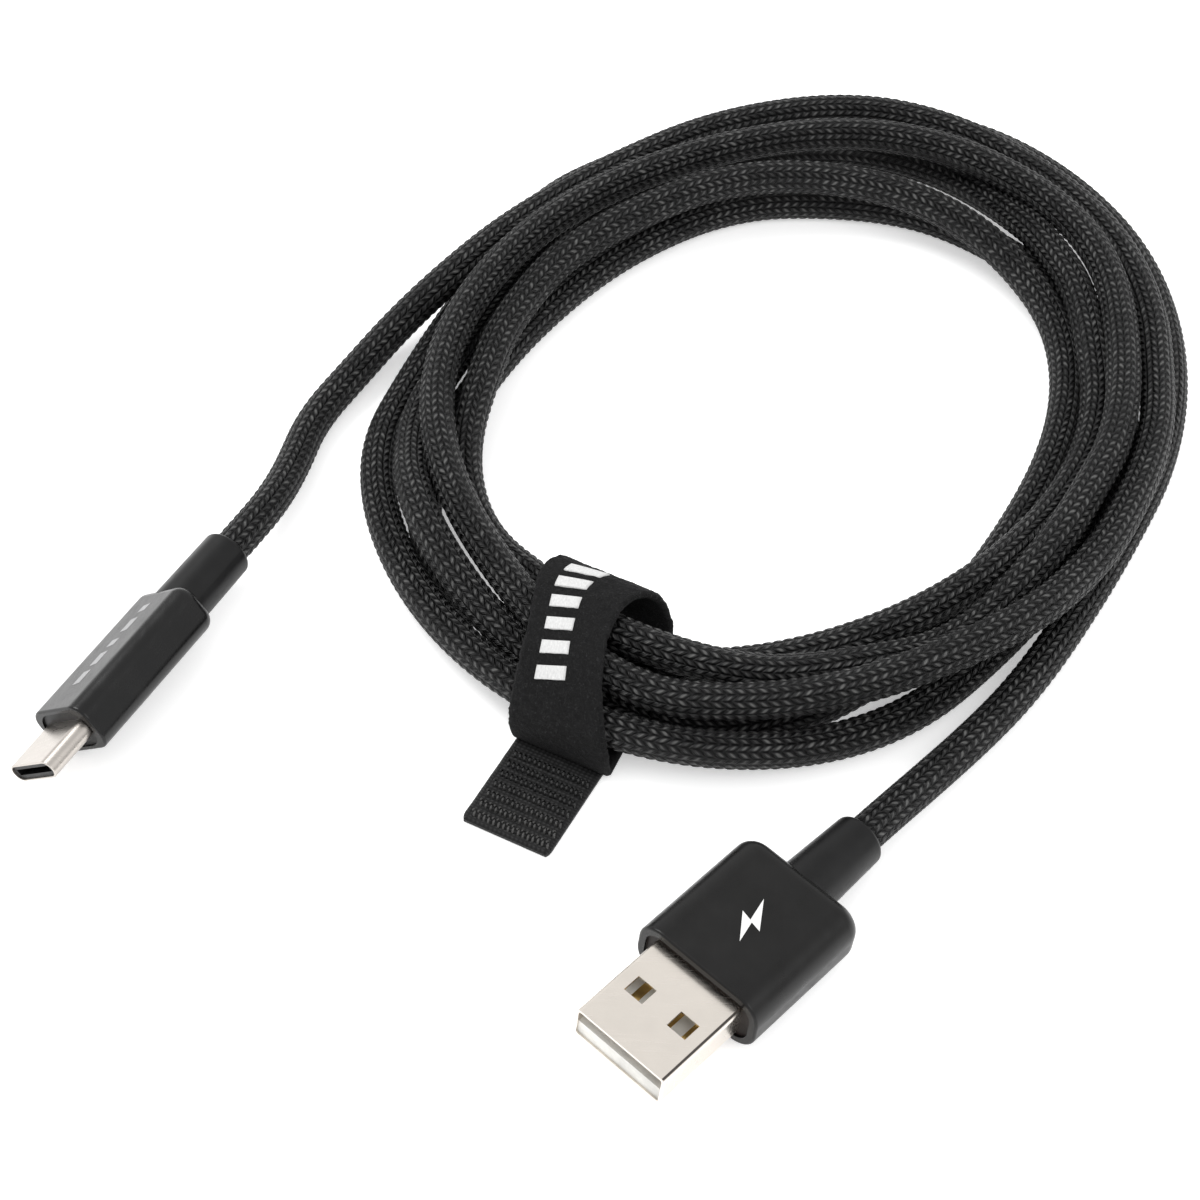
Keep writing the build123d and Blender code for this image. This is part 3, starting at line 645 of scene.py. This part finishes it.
def grid_slab(name, r0, r1, n0, n1, z0, z1, nr, nn, mat, body, bow=0.0, round_end=0.0, rough=0.0, seed=3):
    """A flat woven strip with softened edges, a little uneven on top."""
    g = np.random.default_rng(seed)
    rr = np.linspace(0, 1, nr)
    nv = np.linspace(-1, 1, nn)
    Rg, Ng = np.meshgrid(rr, nv, indexing="ij")
    un = smooth_noise(g, (nr, nn), 3) * rough
    half = (n1 - n0) / 2
    mid = (n0 + n1) / 2
    r = r0 + (r1 - r0) * Rg
    # corners of the cut end are slightly rounded
    cut = np.clip((Rg - 0.93) / 0.07, 0, 1)
    n = mid + Ng * half * (1 - round_end * cut ** 2)
    e = np.clip((np.abs(Ng) - 0.93) / 0.07, 0, 1)
    e2 = np.clip((Rg - 0.97) / 0.03, 0, 1)
    ztop = z1 + un - 0.22 * np.maximum(e, e2) ** 2
    zbot = np.full_like(ztop, z0) + 0.12 * np.maximum(e, e2) ** 2
    up = to_world(r, n, ztop).reshape(-1, 3)
    dn = to_world(r, n, zbot).reshape(-1, 3)
    fs, uvs = [], []
    rf, nf = r.ravel(), n.ravel()
    m = nr * nn
    for a in range(nr - 1):
        for b in range(nn - 1):
            q = [a * nn + b, (a + 1) * nn + b, (a + 1) * nn + b + 1, a * nn + b + 1]
            fs.append(q)
            uvs += [(rf[k], nf[k]) for k in q]
            fs.append([k + m for k in reversed(q)])
            uvs += [(rf[k], nf[k] + 30) for k in reversed(q)]
    rim = [a * nn for a in range(nr)] + [(nr - 1) * nn + b for b in range(1, nn)] + [a * nn + nn - 1 for a in range(nr - 2, -1, -1)] + [b for b in range(nn - 2, 0, -1)]
    for a, b in zip(rim, rim[1:] + rim[:1]):
        fs.append([a, a + m, b + m, b])
        uvs += [(rf[a], nf[a]), (rf[a] + .5, nf[a] + .5), (rf[b] + .5, nf[b] + .5), (rf[b], nf[b])]
    o = obj_from(name, np.vstack([up, dn]), fs, mat, True, uvs)
    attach(o, body)
    return o


def hook_tape_material():
    t = Tree("hook_tape")
    u, v, _ = t.separate(t.coord.outputs["UV"])
    wu = t.math("ABSOLUTE", t.math("SINE", t.math("MULTIPLY", u, math.pi / 0.42)))
    wv = t.math("ABSOLUTE", t.math("SINE", t.math("MULTIPLY", v, math.pi / 0.55)))
    weave = t.math("MULTIPLY", wu, wv)
    sp = t.noise(t.combine(u, v, 0.0), 2.2, 4.0)
    m = t.math("ADD", t.math("MULTIPLY", weave, 0.6), t.math("MULTIPLY", sp, 0.4))
    col = t.ramp(m, [(0.1, (0.002, 0.002, 0.002)), (0.5, (0.006, 0.006, 0.0062)), (0.9, (0.020, 0.020, 0.0205))])
    return t.set(base=col, rough=t.range(m, 0, 1, 0.62, 0.48), normal=t.bump(m, 0.5, 0.00015), spec=0.2)


M_TAPE = hook_tape_material()


def hook_plastic():
    """Moulded hooks, paler and greyer toward the free end."""
    t = Tree("strap_hook_plastic")
    x, y, _ = t.separate(t.coord.outputs["Object"])
    r = t.math("ADD", t.math("MULTIPLY", t.math("SUBTRACT", x, float(SO[0])), float(R_DIR[0])),
               t.math("MULTIPLY", t.math("SUBTRACT", y, float(SO[1])), float(R_DIR[1])))
    o = t.coord.outputs["Object"]
    cl = t.noise(o, 420.0, 3.0)
    end = t.range(t.math("ADD", t.math("MULTIPLY", r, 1000.0), t.math("MULTIPLY", cl, 6.0)), -17.0, -13.5, 1.0, 0.0)
    col = t.mix(end, (0.006, 0.006, 0.0062), (0.045, 0.044, 0.043))
    return t.set(base=col, rough=t.range(cl, 0.3, 0.7, 0.30, 0.42), normal=t.bump(t.noise(o, 9000.0), 0.15, 0.00004), spec=0.45)


M_HOOK = hook_plastic()
tape = grid_slab("strap_end_tape", TX0 + 0.85, TX0 - TL + 0.45, -STRAP_W / 2 - 0.45, STRAP_W / 2 - 0.85, 0.02, TT, 60, 40, M_TAPE,
                 "strap_free_end", round_end=0.05, rough=0.02)
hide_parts("strap_tab")

# rows of moulded hooks, alternate rows facing opposite ways
hv, hf = [], []
g = np.random.default_rng(5)


def hook(cr, cn, face):
    """One little J: a stem leaning over to a blunt tip."""
    base = len(hv)
    prof_h = [(0.00, 0.00, 0.17), (0.03, 0.18, 0.15), (0.09, 0.34, 0.14), (0.20, 0.46, 0.13), (0.32, 0.45, 0.10), (0.38, 0.36, 0.05)]
    sides = 6
    for q, (dx, dz, rad) in enumerate(prof_h):
        for a in range(sides):
            th = 2 * math.pi * a / sides
            hv.append((cr + face * (dx + rad * 0.8 * math.cos(th)), cn + rad * math.sin(th), TT - 0.03 + dz + (rad * 0.35 * math.cos(th) if q > 2 else 0)))
    m = len(prof_h)
    for q in range(m - 1):
        for a in range(sides):
            b = (a + 1) % sides
            hf.append([base + q * sides + a, base + q * sides + b, base + (q + 1) * sides + b, base + (q + 1) * sides + a])
    hf.append([base + (m - 1) * sides + a for a in range(sides)])


rows_r = np.arange(TX0 - 1.3, TX0 - TL + 0.9, -0.78)
for a, rr_ in enumerate(rows_r):
    for b, nn_ in enumerate(np.arange(-STRAP_W / 2 + 0.45, STRAP_W / 2 - 1.6, 0.62)):
        hook(rr_ + g.normal(0, 0.03), nn_ + (0.31 if a % 2 else 0.0) + g.normal(0, 0.03), 1 if a % 2 else -1)
hv = np.array(hv)
hooks = obj_from("strap_end_hooks", to_world(hv[:, 0], hv[:, 1], hv[:, 2]), hf, M_HOOK, True)
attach(hooks, "strap_free_end")
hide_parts("strap_hook_field")

# ------------------------------------------------------------------- stage
def floor_material():
    t = Tree("floor")
    o = t.coord.outputs["Object"]
    n = t.noise(o, 900.0, 3.0)
    return t.set(base=t.mix(n, (0.93, 0.93, 0.93), (0.95, 0.95, 0.95)), rough=0.85, spec=0.1,
                 emission=(1.0, 1.0, 1.0), emission_strength=0.40)


floor_me = bpy.data.meshes.new("floor")
floor_me.from_pydata([(-3, -3, 0), (3, -3, 0), (3, 3, 0), (-3, 3, 0)], [], [[0, 1, 2, 3]])
floor = bpy.data.objects.new("floor", floor_me)
scene.collection.objects.link(floor)
floor_me.materials.append(floor_material())

world = bpy.data.worlds.new("studio")
scene.world = world
world.use_nodes = True
bg = world.node_tree.nodes["Background"]
bg.inputs["Color"].default_value = (1.0, 1.0, 1.0, 1)
bg.inputs["Strength"].default_value = 0.95


def area(name, loc, target, size, power, color=(1, 1, 1)):
    l = bpy.data.lights.new(name, "AREA")
    l.shape = "RECTANGLE"
    l.size, l.size_y = size
    l.energy = power
    l.color = color
    o = bpy.data.objects.new(name, l)
    scene.collection.objects.link(o)
    o.location = loc
    o.rotation_euler = (Vector(target) - Vector(loc)).to_track_quat("-Z", "Y").to_euler()
    return o


area("key", (-0.35, 0.30, 0.60), (0.0, 0.03, 0.0), (0.35, 0.35), 3.0)
area("fill", (0.45, -0.25, 0.50), (0.0, 0.02, 0.0), (0.35, 0.35), 1.2)
scene.view_settings.view_transform = "Standard"
